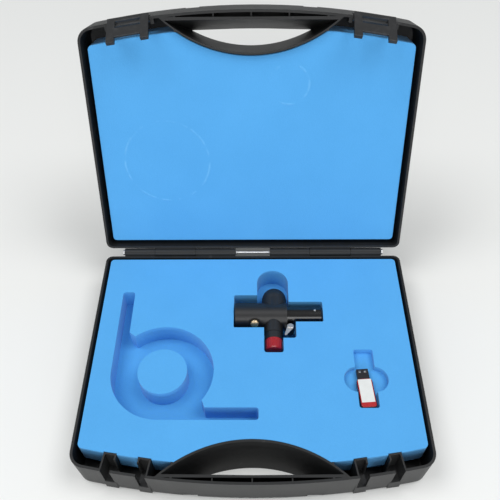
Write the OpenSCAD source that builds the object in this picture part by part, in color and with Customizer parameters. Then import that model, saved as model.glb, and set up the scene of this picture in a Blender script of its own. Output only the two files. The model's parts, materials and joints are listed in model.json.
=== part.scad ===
// Cross-tube star tracker mount in its hinged carry case.
// The case lies open: the base is flat, the lid leans back past upright.
// Row frame: origin at the middle of the base's underside, +X to the right, +Y to the hinge, +Z up.
// Most pieces are drawn in the hinge frame: y = 0 and z = 0 on the hinge axis, front at negative y.

/* [Case] */
// Width of the case, left to right
case_w = 340; // [320:1:380]
// Distance from the hinge axis to the middle of the front edge
case_reach = 269; // [262:1:300]
// Height of the base shell
base_h = 44; // [40:1:60]
// Height of the lid shell
lid_h = 39; // [36:1:55]
// Angle that the lid stands open from shut
open_angle = 110; // [90:1:125]
// Radius of the bowed front edge
front_r = 800; // [600:10:1200]
// Radius of the front corners
corner_r = 15.5; // [10:0.5:22]
// Radius of the back corners
back_r = 7; // [4:0.5:12]
// Wall of both shells
wall = 2.5; // [2:0.1:3.5]
// How much the walls lean in towards the closed side
draft = 1.5; // [0.5:0.1:3]
// Rounding of the bottom and top edges
edge = 3.5; // [2:0.1:6]
// Gap between the two rims when shut
seam = 0.3; // [0.2:0.05:0.6]

/* [Handle] */
// Half length of the handle bar
bar_half = 74; // [65:1:90]
// Thickness of the handle bar at the rim
bar_t = 10.7; // [9:0.1:14]
// Deepest point of the grip opening, behind the front edge
grip_depth = 40.5; // [36:0.5:50]
// Radius of the grip's curved wall
grip_r = 130; // [120:1:160]
// Wall around the grip opening
grip_wall = 2; // [1.5:0.1:3]

/* [Latches] */
// Distance of each latch from the middle of the case
latch_x = 118.5; // [105:0.5:125]
// Width of a latch
latch_w = 41; // [36:0.5:46]
// Width of a latch's side rails
rail_w = 8; // [6:0.5:10]
// Height of a shut latch's end above the base's underside
latch_foot = 17.8; // [8.8:0.1:19]
// Thickness of a latch
latch_t = 2.3; // [1.8:0.1:3]
// Angle that a hanging latch leans in from straight down
latch_lean = 29; // [10:1:30]
// Radius of the latch pins
latch_pin_r = 1.2; // [0.8:0.1:1.5]

/* [Hinge] */
// Radius of the hinge knuckles
knuckle_r = 4.8; // [4:0.1:5.2]
// Radius of the hinge rod
rod_r = 1.6; // [1.2:0.1:2]
// Gap between the knuckles and the back walls
knuckle_gap = 0.9; // [0.8:0.1:3.2]
// Radial running clearance of pins in their holes
run = 0.05; // [0.03:0.01:0.08]

/* [Foam] */
// Gap between the foam and the side walls
foam_side = 6; // [5:0.5:9]
// Gap between the foam and the front edge
foam_front = 17.5; // [16.5:0.5:20]
// Gap between the lid's foam and the widest piece under it when shut, or how far it presses if below 0
lid_foam_gap = 0.4; // [-0.1:0.1:2.4]
// Depth of the main cut-outs
cut_depth = 25; // [22:0.5:27]
// Clearance around foam and loose pieces
loose = 0.4; // [0.3:0.05:0.8]

/* [Cross tube] */
// Radius of the bore for the eyepiece or guide tube
bore_r = 12.25; // [11:0.05:13]
// Wall of the clamp barrel around that bore
barrel_t = 1.95; // [1.55:0.05:2.4]
// Depth of that bore
bore_depth = 32; // [24:0.5:34]
// Radius of the nose tube
nose_r = 11; // [10:0.1:11.4]
// Radius of the nose tube's bore
nose_bore_r = 9; // [7:0.1:9.5]
// Radius of the domed arm
dome_r = 13.5; // [12:0.1:14]
// Radius of the port collar
port_r = 9.6; // [9:0.1:10]
// Radius of the port's red cap
cap_r = 9.2; // [8.8:0.1:9.5]
// Radius of the brass thumb screw's head
thumb_r = 4.4; // [3.5:0.1:5]
// Angle of the thumb screw above level
thumb_tilt = 27; // [20:1:35]

/* [Memory stick] */
// Width of the memory stick
stick_w = 16; // [14:0.1:17]
// Thickness of the memory stick
stick_t = 7.4; // [6:0.1:8]
// Length of the stick's body
stick_len = 31; // [26:0.5:34]
// Depth of the memory stick's recess
stick_depth = 8; // [6:0.5:9]
// Angle that the stick lies at in its recess
stick_turn = 4; // [0:0.5:4.5]

/* [Hidden] */
$fn = 64;

// colours
shell_black = [0.07, 0.075, 0.08];
latch_grey = [0.16, 0.165, 0.17];
foam_blue = [0.2, 0.52, 0.93];
steel = [0.7, 0.7, 0.72];
tube_black = [0.03, 0.03, 0.035];

// case frame
hinge_y = case_reach / 2;
bow_y = front_r - case_reach;
nil = 0.01;
fine = 96;
half_w = case_w / 2;
rim = seam / 2;

back_gap = knuckle_r + knuckle_gap;

// foam: levels below the rim, and its distances from the walls
foam_z = -0.3;
foam_gap = back_gap + wall + 1;
split_z = -cut_depth;
foam_under = 0.2;
foam_edge_r = bow_y + case_reach - foam_front;
bar_end_t = 2;
bar_end_len = case_reach + bow_y - sqrt(pow(foam_edge_r, 2) - pow(bar_half + bar_end_t / 2, 2)) - loose;
foam_half_w = half_w - foam_side;
foam_reach = case_reach - foam_front;
foam_corner = 5;
corner_in = draft + edge;
side_in = wall + corner_in + loose - foam_side;
floor_front = 4.5;

// grip opening, measured at the rim and at the closed side
grip_y = -(case_reach - grip_depth);
bar_y = -(case_reach - bar_t + grip_wall);
base_grip_lean = -9.5;
base_bar_lean = 8;
lid_grip_lean = 1.5;
lid_bar_lean = 17;
bar_rib_x = 36.5;
bar_rib_t = 1.2;
foot_x = 59;
foot_w = 14;
foot_in = 5.2;
foot_h = 8;

// latches: a frame of their own, x along the front wall and y outwards
latch_angle = asin(latch_x / front_r);
latch_wall_y = bow_y - sqrt(pow(front_r, 2) - pow(latch_x, 2));
pivot_in = 3.6;
pivot_up = 4.8;
latch_len = base_h + pivot_up - latch_foot;
plate_low = 2.5;
barrel_wall = 1.5;
latch_barrel_r = latch_pin_r + barrel_wall;
plate_out = 0.4;
plate_in_reach = pivot_in + plate_out;
plate_top = 2.4;
crossbar_h = 12;
foot_len = 7;
hook_t = 1.6;
hook_h = 8;
web_t = 2.4;
latch_side = 0.4;
slot_clear = 0.6;
slot_x = latch_w / 2 - rail_w / 2;
slot_w = rail_w + 2 * slot_clear;
notch_h = pivot_up + sqrt(pow(plate_in_reach + latch_t, 2) + pow(plate_top, 2)) + slot_clear;
ear_t = 3.5;
pin_grip = 2.9;
slot_depth = latch_len - pivot_up + 1.3;
rib_t = 1.5;
bar_pass = 12.8;
latch_tip_in = pivot_in + latch_len * sin(latch_lean) - (plate_in_reach - hook_t) * cos(latch_lean);
chute_back = latch_tip_in + 0.5;
chute_w = slot_w + 2 * rib_t;

// hinge knuckles as spans of x, one side; the other side is mirrored
span_gap = 0.4;
end_span = [114, half_w - 21];
mid_span = [20, 66];
lid_span = [mid_span[1] + span_gap, end_span[0] - span_gap];
rod_end = end_span[1] + 2;
rod_head = 2;
rod_collar = 1.2;

// instrument: its axis in the case, and the places of its parts along and across that axis
barrel_r = bore_r + barrel_t;
widest_r = max(barrel_r, dome_r, nose_r);
ins_y = -81.9;
ins_z = split_z + loose / 2 + widest_r;
lid_foam_drop = ins_z + widest_r + lid_foam_gap;
chamfer = 1;
barrel_x0 = -19.7;
hub_x1 = 37.4;
nose_x1 = 75.5;
dome_x = 23.8;
dome_len = 20.3;
port_x = 22.6;
port_y0 = -24;
port_y1 = -31.9;
cap_y1 = -44;
port_bore_r = 6;
port_seat_r = port_bore_r + 0.8;
spigot_r = 7;
spigot_len = 6;
cap_ribs = 24;
thread = 4;
thumb_x = 2.3;
thumb_bore_r = 2;
thumb_face = barrel_r - 0.8;
thumb_head_in = barrel_r + 0.4;
thumb_head_t = 3.2;
pad_in = bore_r + 0.2;
pad_out = barrel_r - 1;
hub_bore_r = nose_bore_r;
dome_bore_r = 10;
dome_seat = 2;
lens_seat_r = nose_r - 1.6;
lens_t = 2;
small_screw_r = 1.2;
dot_x = nose_x1 - 8;
lever_x = 40.7;
lever_y = -nose_r - 6.4;
lever_z = 5.2;
lever_t = 1.4;
lever_len = 11;
lever_eye_r = 2.2;
lever_turn = -118;
boss_r = 4.2;

// room around the instrument in its cut-out
tight = 0.8;
hole_r = dome_r + 3.8;
hole_x = dome_x - 1.5;
hole_y = ins_y + dome_len + dome_r + 3.4;
barrel_room_end = 0.7;
barrel_room_back = 6.3;
barrel_room_front = 7;
nose_room_front = 3;
cap_room_left = 0.8;
cap_room_right = 0.4;
cap_room_front = 7.5;

// memory stick
stick_x = 114.2;
stick_y0 = -194.2;
stick_z = -stick_depth + loose / 4;
cover_t = 1.2;
cover_in = 0.6;
plug_w = 12;
plug_t = 4.5;
plug_len = 11.5;
plug_in = 4.5;
plug_skin = 0.4;
plug_clear = 0.02;
plug_z = stick_t - cover_t - plug_t - 0.3;
slot_half = stick_w / 2 + 1.9;
slot_y0 = stick_y0 - tight;
slot_y1 = stick_y0 + stick_len + plug_len + 21.5;
finger_y = stick_y0 + 30.2;
finger_w = 44.5;
finger_h = 28;

// ring recess
ring_x = -91.5;
ring_y = -155;
ring_in = 25.2;
ring_out = 52.25;
arm_r = 3;
arm_w = 13.2;
arm_in = ring_out - arm_w;
ring_arm_top = -57;
ring_arm_end = 6;

// ---- frames ----

module in_case() {
  translate([0, hinge_y, base_h]) children();
}

module in_lid() {
  in_case() rotate([-open_angle, 0, 0]) children();
}

module at_latch(side) {
  // y points out of the front wall here
  translate([side * latch_x, latch_wall_y, 0])
    rotate([0, 0, 180 + side * latch_angle])
      children();
}

module at_instrument() {
  in_case() translate([0, ins_y, ins_z]) children();
}

module at_stick() {
  in_case() translate([stick_x, stick_y0, stick_z]) rotate([0, 0, stick_turn]) children();
}

module rod_x(x0, x1, r) {
  translate([x0, 0, 0]) rotate([0, 90, 0]) cylinder(h = x1 - x0, r = r);
}

// a rod along -y, from y0 down to y1
module rod_y(y0, y1, r) {
  translate([0, y0, 0]) rotate([90, 0, 0]) cylinder(h = y0 - y1, r = r);
}

// ---- outlines ----

function arc(cx, cy, r, a0, a1, n) =
  [for (i = [0 : n]) let (a = a0 + (a1 - a0) * i / n) [cx + r * cos(a), cy + r * sin(a)]];

// case outline: straight sides and back, bowed front, rounded corners
function outline(hw, reach, back, r, rb) =
  let (cx = hw - r,
       big = bow_y + reach,
       cy = bow_y - sqrt(pow(big - r, 2) - pow(cx, 2)),
       tangent = atan2(cy - bow_y, cx))
  concat(arc(0, bow_y, big, -180 - tangent, tangent, 20),
         arc(cx, cy, r, tangent, 0, 8),
         arc(hw - rb, -back - rb, rb, 0, 90, 4),
         arc(rb - hw, -back - rb, rb, 90, 180, 4),
         arc(-cx, cy, r, 180, 180 - tangent, 8));

module shell_slice(inset, z) {
  translate([0, 0, z]) linear_extrude(nil)
    polygon(outline(half_w - inset, case_reach - inset, back_gap + inset,
                    corner_r - inset, max(back_r - inset, 1)));
}

// solid of one shell's outer or inner surface, from the rim up to height h
module shell_solid(h, inset, rise) {
  hull() {
    shell_slice(inset, rise);
    shell_slice(inset + draft, h - edge);
    shell_slice(inset + draft + edge * 0.3, h - edge * 0.3);
    shell_slice(inset + draft + edge, h - nil);
  }
}

// lens shape of the grip opening between its back wall and the bar
function lens(apex, bar) =
  let (big = bow_y - bar,
       e = sqrt((apex - bar) / (0.5 / grip_r + 0.5 / big)),
       n = 16)
  concat([for (i = [-n : n]) let (x = e * i / n) [x, apex - grip_r + sqrt(pow(grip_r, 2) - x * x)]],
         [for (i = [n - 1 : -1 : 1 - n]) let (x = e * i / n) [x, bow_y - sqrt(big * big - x * x)]]);

module grip_solid(h, grow, apex_end, bar_end, z0, z1) {
  hull() {
    translate([0, 0, z0]) linear_extrude(nil) polygon(lens(grip_y + grow, bar_y - grow));
    translate([0, 0, z1]) linear_extrude(nil) polygon(lens(apex_end + grow, bar_end - grow));
  }
}

// ---- one shell, rim at z = rim and closed side at z = h ----

module bar_ribs(h) {
  for (x = [-bar_rib_x, 0, bar_rib_x])
    translate([x - bar_rib_t / 2, -(case_reach - 1), rim + 1.5])
      cube([bar_rib_t, bar_t - 1, h - 3]);
}

module tray(h, grip_lean, bar_lean) {
  apex_end = grip_y + grip_lean;
  bar_end = bar_y + bar_lean;
  difference() {
    union() {
      difference() {
        shell_solid(h, 0, rim);
        translate([0, 0, -wall]) shell_solid(h, wall, wall + rim - 1);
      }
      intersection() {
        shell_solid(h, 0.5, rim);
        union() {
          grip_solid(h, grip_wall, apex_end, bar_end, rim, h - nil);
          bar_ribs(h);
          for (side = [-1, 1])
            translate([side * bar_half - bar_end_t / 2, -case_reach, rim])
              cube([bar_end_t, bar_end_len, h - 2]);
        }
      }
    }
    grip_solid(h, 0, apex_end, bar_end, -1, h + 1);
    for (side = [-1, 1])
      translate([side * foot_x - foot_w / 2, -case_reach - 2, h - foot_h])
        cube([foot_w, foot_in + 2, foot_h + 1]);
  }
}

module knuckle(span) {
  for (side = [0, 1]) mirror([side, 0, 0]) {
    rod_x(span[0], span[1], knuckle_r);
    translate([span[0], -back_gap - wall, rim]) cube([span[1] - span[0], back_gap + wall, knuckle_r - rim]);
  }
}

// ---- case base ----

module base_shell() {
  color(shell_black) in_case() difference() {
    union() {
      mirror([0, 0, 1]) {
        tray(base_h, base_grip_lean, base_bar_lean);
        knuckle(mid_span);
        knuckle(end_span);
      }
      for (side = [-1, 1]) at_latch(side) latch_chutes();
    }
    for (side = [-1, 1]) at_latch(side) latch_slots();
    rod_x(-half_w, half_w, rod_r + run);
  }
}

// a back plate, a full outer rib and a short inner rib behind each slot, on a block
module latch_chutes() {
  low = 1 - base_h;
  for (s = [0, 1]) mirror([s, 0, 0]) translate([slot_x - chute_w / 2, -chute_back - rib_t, low]) {
    cube([chute_w, rib_t, base_h - 2]);
    translate([chute_w - rib_t, 0, 0]) cube([rib_t, chute_back + rib_t - 1, base_h - 2]);
    cube([rib_t, chute_back + rib_t - bar_pass, base_h - 2]);
    cube([chute_w, chute_back + rib_t - 1, base_h - slot_depth - 2]);
  }
}

module chute_room() {
  for (s = [0, 1]) mirror([s, 0, 0])
    translate([slot_x - chute_w / 2 - loose, -chute_back - rib_t - loose, split_z - 1])
      cube([chute_w + 2 * loose, chute_back, cut_depth + 2]);
}

module latch_slots() {
  for (s = [-1, 1])
    translate([s * slot_x - slot_w / 2, -wall - 1.5, -slot_depth])
      cube([slot_w, wall + 6, slot_depth + 1]);
}

module hinge_rod() {
  color(steel) in_case() union() {
    rod_x(-rod_end, rod_end, rod_r);
    for (side = [0, 1]) mirror([side, 0, 0]) {
      rod_x(end_span[1] + 0.3, end_span[1] + 0.3 + rod_head, rod_r + 1.6);
      rod_x(mid_span[0] - span_gap - rod_collar, mid_span[0] - span_gap, rod_r + rod_collar);
    }
  }
}

// ---- case lid ----

module lid_shell() {
  color(shell_black) in_lid() difference() {
    union() {
      tray(lid_h, lid_grip_lean, lid_bar_lean);
      knuckle(lid_span);
      for (side = [-1, 1]) at_latch(side) latch_ears();
    }
    for (side = [-1, 1]) at_latch(side) latch_notch();
    rod_x(-half_w, half_w, rod_r + run);
  }
}

module latch_ears() {
  for (s = [-1, 1])
    translate([s * (latch_w / 2 + latch_side + ear_t / 2) - ear_t / 2, -pivot_in - 4, rim + 0.3])
      cube([ear_t, pivot_in + 3, pivot_up + 4.5]);
}

module latch_notch() {
  translate([-latch_w / 2 - latch_side, -pivot_in - 5, -1])
    cube([latch_w + 2 * latch_side, pivot_in + 12, notch_h + 1]);
  translate([0, -pivot_in, pivot_up])
    rod_x(-latch_w / 2 - pin_grip - 0.1, latch_w / 2 + pin_grip + 0.1, latch_pin_r + run);
}

module latch_pin(side) {
  color(steel) in_lid() at_latch(side) translate([0, -pivot_in, pivot_up])
    rod_x(-latch_w / 2 - pin_grip, latch_w / 2 + pin_grip, latch_pin_r);
}

// latch in its own frame: the origin on its pin, hanging straight down
module latch_plate() {
  out = plate_in_reach;
  len = latch_len;
  difference() {
    union() {
      rod_x(-latch_w / 2, latch_w / 2, latch_barrel_r);
      translate([-latch_w / 2, 0, -web_t / 2]) cube([latch_w, out + 0.5, web_t]);
      translate([-latch_w / 2, out, -plate_low]) cube([latch_w, latch_t, plate_low + plate_top]);
      for (s = [-1, 1])
        translate([s * slot_x - rail_w / 2, out, -len]) cube([rail_w, latch_t, len]);
      translate([-latch_w / 2, out, foot_len - len]) cube([latch_w, latch_t, crossbar_h]);
      for (s = [-1, 1])
        translate([s * slot_x - rail_w / 2, out - hook_t, -len]) cube([rail_w, hook_t + 0.1, hook_h]);
    }
    rod_x(-latch_w, latch_w, latch_pin_r + run);
  }
}

module latch(side) {
  color(latch_grey) in_lid() at_latch(side) translate([0, -pivot_in, pivot_up])
    rotate([-latch_lean, 0, 0]) latch_plate();
}

module latch_pin_left() { latch_pin(-1); }
module latch_pin_right() { latch_pin(1); }
module latch_left() { latch(-1); }
module latch_right() { latch(1); }

// ---- foam ----

module foam_outline(shrink_side, shrink_front, shrink_back) {
  polygon(outline(foam_half_w - shrink_side, foam_reach - shrink_front, foam_gap + shrink_back,
                  foam_corner, 4));
}

module grip_cut(z0, z1, lean) {
  translate([0, grip_y + grip_wall + lean + loose - grip_r, z0]) cylinder(h = z1 - z0, r = grip_r, $fn = fine);
}

module rounded(x0, y0, x1, y1, r) {
  // rectangle with round corners, exact arcs
  translate([x0 + r, y0]) square([x1 - x0 - 2 * r, y1 - y0]);
  translate([x0, y0 + r]) square([x1 - x0, y1 - y0 - 2 * r]);
  for (x = [x0 + r, x1 - r], y = [y0 + r, y1 - r]) translate([x, y]) circle(r = r, $fn = 32);
}

module ring_cut() {
  difference() {
    union() {
      translate([ring_x, ring_y]) circle(r = ring_out, $fn = fine);
      rounded(ring_x - ring_out, ring_y - 4, ring_x - ring_out + arm_w, ring_arm_top, arm_r);
      rounded(ring_x, ring_y - ring_out, ring_arm_end, ring_y - ring_out + arm_w, arm_r);
      // fillets where the two arms leave the ring
      translate([ring_x - arm_in, ring_y + arm_in])
        polygon([[0, 6.95], [6.55, 1.95], [9.05, -3.05], [0, -9.05]]);
      translate([ring_x + arm_in, ring_y - arm_in])
        polygon([[5.45, 0], [2.95, 7.05], [-9.05, 7.05], [-9.05, 0]]);
    }
    translate([ring_x, ring_y]) circle(r = ring_in, $fn = fine);
  }
}

module finger_cut() {
  translate([hole_x, hole_y]) circle(r = hole_r, $fn = fine);
}

module instrument_cut() {
  port_half = max(port_r, cap_r);
  lever_cut_y = ins_y + lever_y - lever_len - 5.7;
  finger_cut();
  translate([hole_x - hole_r, ins_y]) square([2 * hole_r, hole_y - ins_y]);
  rounded(barrel_x0 - barrel_room_end, ins_y - barrel_r - barrel_room_front,
          hub_x1 + 1.1, ins_y + barrel_r + barrel_room_back, 2);
  rounded(port_x, ins_y - nose_r - nose_room_front, nose_x1 + tight, ins_y + nose_r + tight, 2);
  rounded(port_x - port_half - cap_room_left, ins_y + cap_y1 - cap_room_front,
          port_x + port_half + cap_room_right, ins_y, 3);
  rounded(port_x, lever_cut_y, lever_x + 5.8, ins_y, 3);
}

module stick_cut() {
  rounded(stick_x - slot_half, slot_y0, stick_x + slot_half, slot_y1, 2.5);
  for (s = [-1, 1]) translate([stick_x + s * (finger_w - finger_h) / 2, finger_y])
    circle(r = finger_h / 2, $fn = fine);
  translate([stick_x - (finger_w - finger_h) / 2, finger_y - finger_h / 2])
    square([finger_w - finger_h, finger_h]);
}

module foam_top() {
  color(foam_blue) in_case() difference() {
    translate([0, 0, split_z]) linear_extrude(foam_z - split_z) foam_outline(0, 0, draft);
    grip_cut(split_z - 1, 1, 0);
    translate([0, 0, split_z - 1]) linear_extrude(cut_depth + 2) {
      ring_cut();
      instrument_cut();
    }
    translate([0, 0, -stick_depth]) linear_extrude(stick_depth + 1) stick_cut();
    for (side = [-1, 1]) at_latch(side) chute_room();
  }
}

module foam_floor() {
  color(foam_blue) in_case() difference() {
    translate([0, 0, -base_h + wall + foam_under]) linear_extrude(base_h - wall - foam_under - cut_depth)
      foam_outline(side_in, floor_front, corner_in);
    grip_cut(-base_h, split_z + 1, 0);
  }
}

module lid_foam() {
  color(foam_blue) in_lid() difference() {
    translate([0, 0, lid_foam_drop]) linear_extrude(lid_h - wall - foam_under - lid_foam_drop)
      foam_outline(side_in, 0, corner_in);
    grip_cut(0, lid_h, lid_grip_lean);
  }
}

// ---- cross-tube instrument: origin on the barrel's axis ----

module cross_body() {
  color(tube_black) at_instrument() difference() {
    union() {
      rod_x(barrel_x0 + chamfer, hub_x1, barrel_r);
      translate([barrel_x0, 0, 0]) rotate([0, 90, 0])
        cylinder(h = chamfer, r1 = barrel_r - chamfer, r2 = barrel_r);
      translate([dome_x, 0, 0]) rotate([-90, 0, 0]) cylinder(h = dome_len - dome_seat, r = dome_r);
      translate([port_x, 0, 0]) rod_y(0, port_y0, port_r + 0.4);
      translate([lever_x, lever_y, -6]) cylinder(h = lever_z + 5.8, r = boss_r);
      translate([lever_x - 6, lever_y, -4]) cube([hub_x1 - lever_x + 6, 12, 8]);
    }
    rod_x(barrel_x0 - 1, barrel_x0 + bore_depth, bore_r);
    rod_x(barrel_x0, hub_x1 + 1, hub_bore_r);
    translate([dome_x, 0, 0]) rotate([-90, 0, 0]) cylinder(h = 2 * dome_len, r = dome_bore_r);
    translate([port_x, 0, 0]) rod_y(1, 2 * port_y0, port_seat_r);
    at_thumb() cylinder(h = 2 * barrel_r, r = thumb_bore_r + run);
    at_thumb() translate([0, 0, thumb_face]) cylinder(h = barrel_r, r = thumb_r + 2.2);
    rod_x(hub_x1 - thread, hub_x1 + 1, nose_r - 1 + run);
    translate([lever_x, lever_y, 0]) cylinder(h = 2 * barrel_r, r = small_screw_r + run);
  }
}

module at_thumb() {
  translate([thumb_x, 0, 0]) rotate([90 - thumb_tilt, 0, 0]) children();
}

// hollow half sphere screwed into the domed arm
module dome_cap() {
  color(tube_black) at_instrument() translate([dome_x, dome_len - dome_seat, 0]) rotate([-90, 0, 0])
    difference() {
      union() {
        intersection() {
          translate([0, 0, dome_seat]) sphere(r = dome_r);
          translate([-dome_r - 1, -dome_r - 1, dome_seat]) cube(2 * dome_r + 2);
        }
        cylinder(h = dome_seat + nil, r = dome_r);
        translate([0, 0, -thread]) cylinder(h = thread + 0.5, r = dome_bore_r - run);
      }
      translate([0, 0, -thread - 1]) cylinder(h = thread + 8, r = dome_bore_r - 2);
    }
}

module nose_tube() {
  color([0.02, 0.02, 0.022]) at_instrument() difference() {
    union() {
      rod_x(hub_x1 + run, nose_x1 - chamfer, nose_r);
      translate([nose_x1 - chamfer, 0, 0]) rotate([0, 90, 0])
        cylinder(h = chamfer, r1 = nose_r, r2 = nose_r - chamfer);
      rod_x(hub_x1 - thread + 0.2, hub_x1 + 1, nose_r - 1);
    }
    rod_x(hub_x1 - thread - 1, nose_x1 + 1, nose_bore_r);
    rod_x(nose_x1 - 2 * lens_t, nose_x1 + 1, lens_seat_r);
    translate([dot_x, 0, 0]) cylinder(h = 2 * nose_r, r = small_screw_r + run);
  }
}

module nose_ring() {
  color(tube_black) at_instrument() difference() {
    rod_x(nose_x1 - lens_t, nose_x1 - 0.6, lens_seat_r - run);
    rod_x(nose_x1 - 5, nose_x1 + 1, lens_seat_r - 1.8);
  }
}

module front_lens() {
  color([0.55, 0.65, 0.8]) at_instrument()
    rod_x(nose_x1 - 2 * lens_t + 0.02, nose_x1 - lens_t - 0.02, lens_seat_r - run);
}

module mirror_holder() {
  color([0.2, 0.2, 0.21]) at_instrument() translate([dome_x, 0, 0]) union() {
    rotate([-90, 0, 0]) translate([0, 0, 8]) cylinder(h = 8, r = dome_bore_r - 2.1);
    rotate([0, 0, 45]) translate([-5, 1.1, -4]) cube([10, 2, 8]);
    translate([-2, 3.6, -2]) cube([4, 6, 4]);
  }
}

module diagonal_mirror() {
  color([0.8, 0.83, 0.85]) at_instrument() translate([dome_x, 0, 0])
    rotate([0, 0, 45]) translate([-6, 0.05, -5]) cube([12, 1, 10]);
}

module port_collar() {
  color(tube_black) at_instrument() translate([port_x, 0, 0]) difference() {
    union() {
      rod_y(port_y0 - run, port_y1, port_r);
      rod_y(port_y0 + thread, port_y0 - 0.1, port_seat_r - run);
      rod_y(port_y1 + 0.1, port_y1 - spigot_len, spigot_r);
    }
    rod_y(port_y0 + 5, port_y1 - 7, port_bore_r - 0.5);
    rod_y(port_y1 - 2, port_y1 - 7, port_bore_r);
  }
}

module port_lens() {
  color([0.5, 0.6, 0.75]) at_instrument() translate([port_x, 0, 0])
    rod_y(port_y1 - 2 - run, port_y1 - 4, port_bore_r - run);
}

module port_cap() {
  color([0.75, 0.06, 0.09]) at_instrument() translate([port_x, 0, 0]) difference() {
    union() {
      rod_y(port_y1 - 0.2, cap_y1 + chamfer, cap_r);
      translate([0, cap_y1 + chamfer, 0]) rotate([90, 0, 0])
        cylinder(h = chamfer, r1 = cap_r, r2 = cap_r - chamfer);
    }
    rod_y(port_y1 + 1, port_y1 - spigot_len - 1.5, spigot_r + run);
    for (i = [1 : cap_ribs]) rotate([0, i * 360 / cap_ribs, 0])
      translate([cap_r + 0.35, 0, 0]) rod_y(port_y1 - 1.5, cap_y1 + 2, 0.8);
  }
}

module body_screws() {
  color(steel) at_instrument() translate([dot_x, 0, nose_bore_r + 0.3])
    cylinder(h = nose_r - nose_bore_r + 0.1, r = small_screw_r);
}

module lever_boss() {
  color(tube_black) at_instrument() translate([lever_x, lever_y, lever_z]) difference() {
    cylinder(h = lever_t - 0.2, r = lever_eye_r);
    translate([0, 0, -1]) cylinder(h = lever_t + 2, r = small_screw_r + run);
  }
}

module clamp_pad() {
  color([0.9, 0.9, 0.86]) at_instrument() at_thumb()
    translate([0, 0, pad_in]) cylinder(h = pad_out - pad_in, r = thumb_bore_r);
}

module thumb_screw() {
  color([0.72, 0.55, 0.3]) at_instrument() at_thumb() difference() {
    union() {
      translate([0, 0, pad_out + 0.02]) cylinder(h = 2, r = thumb_bore_r);
      translate([0, 0, thumb_head_in]) cylinder(h = thumb_head_t - 0.5, r = thumb_r);
      translate([0, 0, thumb_head_in + thumb_head_t - 0.5]) cylinder(h = 0.5, r1 = thumb_r, r2 = thumb_r - 0.5);
    }
    for (a = [0 : 20 : 340]) rotate([0, 0, a])
      translate([thumb_r + 0.3, 0, thumb_head_in - 1]) cylinder(h = thumb_head_t + 1.3, r = 0.6);
  }
}

module lock_lever() {
  color([0.78, 0.78, 0.78]) at_instrument() translate([lever_x, lever_y, lever_z])
    rotate([0, 0, lever_turn]) difference() {
      union() {
        cylinder(h = lever_t, r = 3.6);
        linear_extrude(lever_t) polygon([[0, 3.55], [0, -3.55], [lever_len, -1.2], [lever_len, 1.2]]);
        translate([lever_len, 0, 0]) cylinder(h = lever_t, r = 1.2);
      }
      translate([0, 0, -1]) cylinder(h = lever_t + 2, r = lever_eye_r + run);
    }
}

module lever_screw() {
  color(steel) at_instrument() translate([lever_x, lever_y, 0]) union() {
    translate([0, 0, 0.5]) cylinder(h = lever_z + lever_t - 0.4, r = small_screw_r);
    translate([0, 0, lever_z + lever_t + 0.05]) cylinder(h = 1.1, r = 2.6);
  }
}

// ---- memory stick: origin at the middle of its closed end, underside ----

module stick_body() {
  color([0.08, 0.02, 0.03]) at_stick() difference() {
    linear_extrude(stick_t - cover_t) rounded(-stick_w / 2, 0, stick_w / 2, stick_len, 3);
    translate([-plug_w / 2 - plug_clear, stick_len - plug_in - 0.5, plug_z])
      cube([plug_w + 2 * plug_clear, plug_in + 1.5, plug_t + 2 * plug_clear]);
  }
}

module stick_cover() {
  color([0.8, 0.05, 0.08]) at_stick() translate([0, 0, stick_t - cover_t]) linear_extrude(cover_t - 0.2)
    rounded(-stick_w / 2 + cover_in, cover_in, stick_w / 2 - cover_in, stick_len, 2.6);
}

module stick_label() {
  color([0.9, 0.9, 0.88]) at_stick() translate([1.4 - stick_w / 2, 5.5, stick_t - 0.2])
    cube([stick_w - 2.8, stick_len - 6.2, 0.15]);
}

module stick_plug() {
  color([0.1, 0.1, 0.11]) at_stick() translate([-plug_w / 2, stick_len - plug_in, plug_z + plug_clear])
    difference() {
      cube([plug_w, plug_len + plug_in, plug_t]);
      translate([plug_skin, 5, plug_skin]) cube([plug_w - 2 * plug_skin, plug_len, plug_t - 2 * plug_skin]);
      for (s = [2.2, plug_w - 4.4]) translate([s, plug_len + 0.5, plug_t - 1]) cube([2.2, 2.2, 2]);
    }
}

module stick_tongue() {
  tongue_in = plug_skin + plug_clear;
  tongue_z = plug_z + plug_clear + tongue_in;
  color([0.85, 0.85, 0.85]) at_stick() translate([tongue_in - plug_w / 2, stick_len + 0.52, tongue_z])
    cube([plug_w - 2 * tongue_in, plug_len - 1.2, 1.8]);
}

base_shell();
foam_top();
foam_floor();
hinge_rod();
lid_shell();
lid_foam();
latch_pin_left();
latch_pin_right();
latch_left();
latch_right();
cross_body();
dome_cap();
nose_tube();
nose_ring();
front_lens();
diagonal_mirror();
mirror_holder();
port_collar();
port_lens();
body_screws();
lever_boss();
clamp_pad();
thumb_screw();
lock_lever();
lever_screw();
port_cap();
stick_body();
stick_cover();
stick_label();
stick_plug();
stick_tongue();
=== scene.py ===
"""Looks of a cross-tube star tracker mount that lies in its open carry case."""

import json
import math

import bmesh
import bpy
from mathutils import Matrix, Vector

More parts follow.
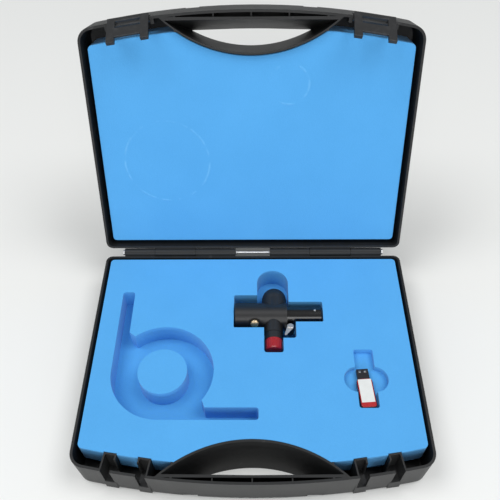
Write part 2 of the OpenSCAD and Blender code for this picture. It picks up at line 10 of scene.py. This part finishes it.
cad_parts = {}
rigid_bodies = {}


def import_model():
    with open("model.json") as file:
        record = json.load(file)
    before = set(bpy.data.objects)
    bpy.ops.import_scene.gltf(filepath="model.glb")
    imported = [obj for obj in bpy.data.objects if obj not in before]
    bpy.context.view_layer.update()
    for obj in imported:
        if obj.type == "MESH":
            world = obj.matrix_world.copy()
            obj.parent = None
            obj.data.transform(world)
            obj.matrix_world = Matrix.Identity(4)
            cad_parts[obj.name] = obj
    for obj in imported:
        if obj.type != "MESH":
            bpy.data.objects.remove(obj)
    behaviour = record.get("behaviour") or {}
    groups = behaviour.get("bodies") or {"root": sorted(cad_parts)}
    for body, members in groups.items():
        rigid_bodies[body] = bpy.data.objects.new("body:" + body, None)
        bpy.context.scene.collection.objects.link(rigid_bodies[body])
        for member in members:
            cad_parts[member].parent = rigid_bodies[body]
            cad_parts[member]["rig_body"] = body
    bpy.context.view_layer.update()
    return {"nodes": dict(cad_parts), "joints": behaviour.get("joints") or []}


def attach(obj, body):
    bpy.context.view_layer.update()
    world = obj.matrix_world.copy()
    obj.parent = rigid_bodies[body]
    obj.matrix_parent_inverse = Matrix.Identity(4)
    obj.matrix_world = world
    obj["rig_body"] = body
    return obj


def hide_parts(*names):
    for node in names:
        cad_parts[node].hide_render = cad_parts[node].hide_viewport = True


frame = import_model()

MM = 0.001
JOINTS = {joint["name"]: joint for joint in frame["joints"]}
HINGE = Vector(JOINTS["lid_hinge"]["pos_m"])
SHUT_TO_OPEN = math.radians(JOINTS["lid_hinge"]["range_deg"][0])

# From the lid's own frame when shut to its open place
IN_LID = Matrix.Translation(HINGE) @ Matrix.Rotation(SHUT_TO_OPEN, 4, "X")

# The lid's pressed rings: across, towards the handle and radius, in millimetres
PRESSED_RINGS = [(-92, 112, 46), (38, 196, 21)]
RING_HALF_WIDTH = 0.9
RING_SOFT_EDGE = 0.7

# Camera: its turns in degrees, and its place from the hinge in millimetres
CAMERA_TURNS = {"pitch": 50.72, "yaw": -0.94, "roll": -0.89}
CAMERA_FROM_HINGE = (4.41, -458.45, 564.49)
LENS_LENGTH = 44.72
SENSOR_WIDTH = 36

FLOOR_SIZE = 60
SKY_STRENGTH = 0.34
# Light panels: size in metres, power, elevation, azimuth and distance
PANELS = [
    ("front_strip", (1.2, 0.1), 3.2, 9, 0, 1.0),
    ("left_panel", (1.6, 1.6), 40, 65, -90, 3.4),
    ("right_panel", (1.6, 1.6), 40, 65, 90, 3.4),
    ("front_panel", (2.0, 1.2), 22, 34, 0, 3.0),
]
LIT_POINT = Vector((0, 0, 0.05))


# ---- camera, floor and light ----


def view_axes(pitch, yaw, roll):
    """Right, up and forward of a camera that looks along +Y before it is turned."""
    forward = Vector((math.sin(yaw) * math.cos(pitch), math.cos(yaw) * math.cos(pitch), -math.sin(pitch)))
    right = Vector((math.cos(yaw), -math.sin(yaw), 0))
    up = right.cross(forward)
    turned_right = math.cos(roll) * right + math.sin(roll) * up
    turned_up = math.cos(roll) * up - math.sin(roll) * right
    return turned_right, turned_up, forward


def add_camera():
    data = bpy.data.cameras.new("camera")
    data.lens = LENS_LENGTH
    data.sensor_width = SENSOR_WIDTH
    camera = bpy.data.objects.new("camera", data)
    right, up, forward = view_axes(**{turn: math.radians(degrees) for turn, degrees in CAMERA_TURNS.items()})
    place = Matrix((right, up, -forward)).transposed().to_4x4()
    place.translation = HINGE + Vector(CAMERA_FROM_HINGE) * MM
    camera.matrix_world = place
    bpy.context.scene.collection.objects.link(camera)
    bpy.context.scene.camera = camera


def add_light(name, size, power, elevation, azimuth, distance):
    """A soft panel that faces the case; azimuth 0 is the front, and it grows to the right."""
    data = bpy.data.lights.new(name, "AREA")
    data.shape = "RECTANGLE"
    data.size, data.size_y = size
    data.energy = power
    light = bpy.data.objects.new(name, data)
    up, turn = math.radians(elevation), math.radians(azimuth)
    away = Vector((math.sin(turn) * math.cos(up), -math.cos(turn) * math.cos(up), math.sin(up)))
    light.location = LIT_POINT + away * distance
    light.rotation_euler = away.to_track_quat("Z", "Y").to_euler()
    bpy.context.scene.collection.objects.link(light)


def add_studio():
    bpy.ops.mesh.primitive_plane_add(size=FLOOR_SIZE)
    floor = bpy.context.active_object
    floor.name = "floor"
    finish = Finish("floor_paper")
    finish.surface(base=(0.84, 0.845, 0.83), roughness=0.75)
    floor.data.materials.append(finish.material)
    world = bpy.data.worlds.new("world")
    bpy.context.scene.world = world
    world.use_nodes = True
    sky = world.node_tree.nodes["Background"]
    sky.inputs["Color"].default_value = (0.95, 0.98, 1, 1)
    sky.inputs["Strength"].default_value = SKY_STRENGTH
    for panel in PANELS:
        add_light(*panel)
    bpy.context.scene.view_settings.view_transform = "Standard"


# ---- materials ----


class Value:
    """A socket of a material. Arithmetic on it adds Math nodes."""

    def __init__(self, finish, socket):
        self.finish = finish
        self.socket = socket

    def math(self, operation, *others):
        return self.finish.node("ShaderNodeMath", {"operation": operation}, [self, *others])

    def __add__(self, other):
        return self.math("ADD", other)

    def __sub__(self, other):
        return self.math("SUBTRACT", other)

    def __mul__(self, other):
        return self.math("MULTIPLY", other)

    def __rsub__(self, other):
        return self.finish.node("ShaderNodeMath", {"operation": "SUBTRACT"}, [other, self])

    __radd__ = __add__
    __rmul__ = __mul__

    def above(self, edge, soft):
        """0 below the edge, 1 above it, over a soft band."""
        settings = {"interpolation_type": "SMOOTHSTEP"}
        return self.finish.node("ShaderNodeMapRange", settings, [self, edge - soft, edge + soft, 0.0, 1.0])


class Finish:
    """A material, built node by node."""

    def __init__(self, name):
        self.material = bpy.data.materials.new(name)
        self.material.use_nodes = True
        self.tree = self.material.node_tree
        self.shader = self.tree.nodes["Principled BSDF"]

    def node(self, kind, settings, inputs, output=0):
        """Adds a node, sets it up, and feeds its inputs, given in order or by name."""
        made = self.tree.nodes.new(kind)
        for key, value in settings.items():
            setattr(made, key, value)
        pairs = inputs.items() if isinstance(inputs, dict) else enumerate(inputs)
        for key, value in pairs:
            self.feed(made.inputs[key], value)
        return Value(self, made.outputs[output])

    def feed(self, socket, value):
        if isinstance(value, Value):
            self.tree.links.new(value.socket, socket)
        elif isinstance(value, tuple) and len(value) == 3 and socket.type == "RGBA":
            socket.default_value = (*value, 1)
        else:
            socket.default_value = value

    def coordinates(self, stretch=(1, 1, 1)):
        place = self.node("ShaderNodeTexCoord", {}, [], "Object")
        return self.node("ShaderNodeMapping", {}, {"Vector": place, "Scale": stretch})

    def noise(self, size, detail=3.0, stretch=(1, 1, 1), rough=0.5):
        """Noise from 0 to 1 whose lumps are about size millimetres across."""
        inputs = {
            "Vector": self.coordinates(stretch),
            "Scale": 1 / (size * MM),
            "Detail": detail,
            "Roughness": rough,
        }
        return self.node("ShaderNodeTexNoise", {}, inputs)

    def cells(self, size):
        """Distance to the middle of the nearest of many cells, size millimetres across."""
        inputs = {"Vector": self.coordinates(), "Scale": 1 / (size * MM)}
        return self.node("ShaderNodeTexVoronoi", {}, inputs)

    def mix(self, factor, low, high):
        inputs = {0: factor, 6: low, 7: high}
        return self.node("ShaderNodeMix", {"data_type": "RGBA"}, inputs, 2)

    def bump(self, height, depth, strength=1.0):
        """A normal from a height of 0 to 1 that stands for depth millimetres."""
        inputs = {"Strength": strength, "Distance": depth * MM, "Height": height}
        return self.node("ShaderNodeBump", {}, inputs)

    def surface(self, **sockets):
        names = {
            "base": "Base Color",
            "roughness": "Roughness",
            "metallic": "Metallic",
            "normal": "Normal",
            "coat": "Coat Weight",
            "sheen": "Sheen Weight",
            "specular": "Specular IOR Level",
            "transmission": "Transmission Weight",
            "ior": "IOR",
        }
        for key, value in sockets.items():
            self.feed(self.shader.inputs[names[key]], value)
        return self.material


def case_plastic():
    """Black moulded plastic with a fine spark-eroded grain, a little dust and light scuffs."""
    finish = Finish("case_plastic")
    grain = finish.noise(0.35, 4)
    blotch = finish.noise(28, 3)
    scuff = finish.noise(9, 5, (1, 0.15, 1), 0.7).above(0.66, 0.05)
    base = finish.mix(blotch, (0.01, 0.0105, 0.011), (0.018, 0.0185, 0.019))
    base = finish.mix(scuff * 0.25, base, (0.11, 0.11, 0.11))
    rough = 0.36 + blotch * 0.1 + grain * 0.08 + scuff * 0.1
    return finish.surface(base=base, roughness=rough, specular=0.32, normal=finish.bump(grain, 0.05, 0.6))


def latch_plastic():
    finish = Finish("latch_plastic")
    grain = finish.noise(0.5, 3)
    wear = finish.noise(6, 4).above(0.6, 0.12)
    base = finish.mix(wear * 0.5, (0.016, 0.0165, 0.0175), (0.04, 0.041, 0.042))
    return finish.surface(base=base, roughness=0.34 + grain * 0.12, normal=finish.bump(grain, 0.03, 0.5))


def foam_cells(name, marked):
    """Closed-cell foam: small cells, faint cloudy shade and, on the lid, faint pressed marks."""
    finish = Finish(name)
    cell = finish.cells(0.7)
    fleck = finish.noise(1.6, 4, rough=0.7)
    cloud = finish.noise(45, 3)
    tone = cloud * 0.5 + fleck * 0.5
    base = finish.mix(tone, (0.074, 0.345, 0.72), (0.104, 0.425, 0.84))
    height = cell * 0.6 + fleck * 0.6
    if marked:
        mark = pressed_marks(finish)
        base = finish.mix(mark * 0.35, base, (0.22, 0.58, 0.95))
        height = height + mark * 1.5
    normal = finish.bump(height, 0.22, 0.7)
    return finish.surface(base=base, roughness=0.88, sheen=0.12, specular=0.25, normal=normal)


def pressed_marks(finish):
    """Rings that lighter pieces have pressed into the lid's foam, broken up by faint noise."""
    place = finish.node("ShaderNodeTexCoord", {}, [], "Object")
    faint = finish.noise(14, 4).above(0.52, 0.1)
    rings = None
    for across, along, radius in PRESSED_RINGS:
        middle = IN_LID @ (Vector((across, -along, 0)) * MM)
        gap = finish.node("ShaderNodeVectorMath", {"operation": "DISTANCE"}, [place, tuple(middle)], 1)
        band = (gap - radius * MM).math("ABSOLUTE")
        ring = 1 - band.above(RING_HALF_WIDTH * MM, RING_SOFT_EDGE * MM)
        rings = ring if rings is None else rings.math("MAXIMUM", ring)
    return rings * faint


def metal(name, dark, light, rough, grain=0.4, stretch=(1, 1, 1), metallic=1.0, coat=0.0, depth=0.008):
    """Metal whose fine machining grain varies its shade and its roughness."""
    finish = Finish(name)
    lines = finish.noise(grain, 4, stretch)
    patch = finish.noise(7, 3)
    base = finish.mix(lines * 0.6 + patch * 0.4, dark, light)
    roughness = rough + lines * 0.1 + patch * 0.06
    return finish.surface(
        base=base,
        roughness=roughness,
        metallic=metallic,
        coat=coat,
        normal=finish.bump(lines, depth, 0.5),
    )


def plastic(name, dark, light, rough, grain=0.5, depth=0.01, coat=0.0):
    finish = Finish(name)
    lumps = finish.noise(grain, 3)
    patch = finish.noise(5, 3)
    base = finish.mix(patch, dark, light)
    return finish.surface(
        base=base,
        roughness=rough + lumps * 0.08 + patch * 0.05,
        coat=coat,
        normal=finish.bump(lumps, depth, 0.5),
    )


def lens_glass():
    finish = Finish("lens_glass")
    smear = finish.noise(3, 2)
    return finish.surface(
        base=(0.35, 0.42, 0.6), roughness=0.03 + smear * 0.04, transmission=0.6, ior=1.52, coat=1.0
    )


MATERIALS = {
    "case_plastic": case_plastic(),
    "latch_plastic": latch_plastic(),
    "foam": foam_cells("foam", False),
    "foam_marked": foam_cells("foam_marked", True),
    "steel": metal("zinc_steel", (0.45, 0.45, 0.46), (0.68, 0.68, 0.69), 0.28, 0.5, (0.05, 1, 1)),
    "bright_steel": metal("bright_steel", (0.62, 0.6, 0.59), (0.8, 0.78, 0.76), 0.24, 0.3, (1, 0.1, 1)),
    "anodised_matt": metal(
        "anodised_matt", (0.006, 0.006, 0.007), (0.013, 0.013, 0.014), 0.34, 0.25, metallic=0.0, depth=0.02
    ),
    "anodised_gloss": metal(
        "anodised_gloss",
        (0.003, 0.003, 0.0035),
        (0.006, 0.006, 0.007),
        0.08,
        0.3,
        stretch=(1, 0.2, 0.2),
        metallic=0.0,
        coat=0.3,
        depth=0.003,
    ),
    "brass": metal("brass", (0.58, 0.42, 0.24), (0.8, 0.63, 0.4), 0.26, 0.2),
    "red_plastic": plastic("red_plastic", (0.30, 0.006, 0.012), (0.42, 0.012, 0.02), 0.25, coat=0.3),
    "nylon": plastic("nylon", (0.75, 0.75, 0.7), (0.85, 0.85, 0.8), 0.45),
    "mirror": metal("mirror", (0.85, 0.87, 0.9), (0.9, 0.92, 0.94), 0.02, 1, depth=0.001),
    "glass": lens_glass(),
    "stick_dark": plastic("stick_dark", (0.02, 0.003, 0.006), (0.05, 0.006, 0.01), 0.18, coat=0.4),
    "stick_red": plastic("stick_red", (0.36, 0.008, 0.012), (0.5, 0.016, 0.02), 0.2, coat=0.4),
    "label": plastic("label_paper", (0.68, 0.69, 0.66), (0.78, 0.79, 0.77), 0.5, 0.2, 0.01),
    "dark_metal": metal("dark_metal", (0.015, 0.015, 0.018), (0.04, 0.04, 0.045), 0.3, 0.3, metallic=0.6),
}


# ---- pieces that round off the edges of a design node ----


def clean_copy(node, name, flat=0.4):
    """A joined-up copy of a node's mesh, with flat areas as single faces."""
    mesh = frame["nodes"][node].data.copy()
    piece = bpy.data.objects.new(name, mesh)
    bpy.context.scene.collection.objects.link(piece)
    work = bmesh.new()
    work.from_mesh(mesh)
    bmesh.ops.remove_doubles(work, verts=work.verts, dist=0.002 * MM)
    bmesh.ops.dissolve_degenerate(work, edges=work.edges, dist=0.002 * MM)
    bmesh.ops.dissolve_limit(
        work, angle_limit=math.radians(flat), verts=work.verts, edges=work.edges, delimit={"NORMAL"}
    )
    work.to_mesh(mesh)
    work.free()
    for extra in ("custom_normal", "sharp_face", "sharp_edge"):
        if extra in mesh.attributes:
            mesh.attributes.remove(mesh.attributes[extra])
    mesh.materials.clear()
    return piece


def set_material(piece, key):
    piece.data.materials.clear()
    piece.data.materials.append(MATERIALS[key])


def smooth(piece, angle=35):
    for face in piece.data.polygons:
        face.use_smooth = True
    piece.data.set_sharp_from_angle(angle=math.radians(angle))


def apply_modifiers(piece):
    """Leaves the piece as the plain mesh that its modifiers make."""
    bpy.context.view_layer.update()
    seen = piece.evaluated_get(bpy.context.evaluated_depsgraph_get())
    mesh = bpy.data.meshes.new_from_object(seen)
    piece.modifiers.clear()
    old = piece.data
    piece.data = mesh
    bpy.data.meshes.remove(old)


def rounded(node, name, material, radius, segments=2, angle=30):
    """A copy of a node whose sharp edges are rounded, which stands for it."""
    piece = clean_copy(node, name)
    bevel = piece.modifiers.new("round", "BEVEL")
    bevel.width = radius * MM
    bevel.segments = segments
    bevel.limit_method = "ANGLE"
    bevel.angle_limit = math.radians(angle)
    bevel.miter_outer = "MITER_ARC"
    bevel.use_clamp_overlap = True
    smooth(piece, 40)
    weigh = piece.modifiers.new("weigh", "WEIGHTED_NORMAL")
    weigh.keep_sharp = True
    apply_modifiers(piece)
    set_material(piece, material)
    body = frame["nodes"][node]["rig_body"]
    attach(piece, body)
    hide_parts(node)
    return piece


ROUNDED = [
    ("hinge_rod", "hinge_rod_steel", "steel", 0.3),
    ("latch_pin_left", "latch_pin_left_steel", "steel", 0.2),
    ("latch_pin_right", "latch_pin_right_steel", "steel", 0.2),
    ("latch_left", "latch_frame_left", "latch_plastic", 0.5),
    ("latch_right", "latch_frame_right", "latch_plastic", 0.5),
    ("cross_body", "cross_tube_body", "anodised_matt", 0.35),
    ("dome_cap", "domed_end", "anodised_matt", 0.3),
    ("nose_tube", "nose_tube_polished", "anodised_gloss", 0.3),
    ("nose_ring", "nose_ring_matt", "anodised_matt", 0.15),
    ("front_lens", "front_lens_glass", "glass", 0.2),
    ("diagonal_mirror", "diagonal_mirror_glass", "mirror", 0.1),
    ("mirror_holder", "mirror_holder_matt", "anodised_matt", 0.2),
    ("port_collar", "port_collar_matt", "anodised_matt", 0.3),
    ("port_lens", "port_lens_glass", "glass", 0.2),
    ("body_screws", "body_screw_steel", "bright_steel", 0.2),
    ("lever_boss", "lever_washer", "anodised_matt", 0.1),
    ("clamp_pad", "clamp_pad_nylon", "nylon", 0.1),
    ("thumb_screw", "thumb_screw_brass", "brass", 0.15),
    ("lock_lever", "lock_lever_steel", "bright_steel", 0.25),
    ("lever_screw", "lever_screw_steel", "bright_steel", 0.3),
    ("port_cap", "port_cap_red", "red_plastic", 0.3),
    ("stick_body", "stick_case_dark", "stick_dark", 0.6),
    ("stick_cover", "stick_case_red", "stick_red", 0.5),
    ("stick_label", "stick_label_paper", "label", 0.04),
    ("stick_plug", "stick_plug_shell", "dark_metal", 0.25),
    ("stick_tongue", "stick_plug_tongue", "nylon", 0.15),
]


def add_rounded_pieces():
    for node, name, material, radius in ROUNDED:
        rounded(node, name, material, radius)


# ---- foam and shells ----


def add_foam():
    for node, name, material in (
        ("foam_top", "foam_upper_sheet", "foam"),
        ("foam_floor", "foam_lower_sheet", "foam"),
        ("lid_foam", "foam_lid_block", "foam_marked"),
    ):
        block = rounded(node, name, material, 0.8, 3)


def add_shells():
    rounded("base_shell", "case_base_plastic", "case_plastic", 0.4, 2, angle=40)
    rounded("lid_shell", "case_lid_plastic", "case_plastic", 0.4, 2, angle=40)


add_camera()
add_studio()
add_rounded_pieces()
add_foam()
add_shells()
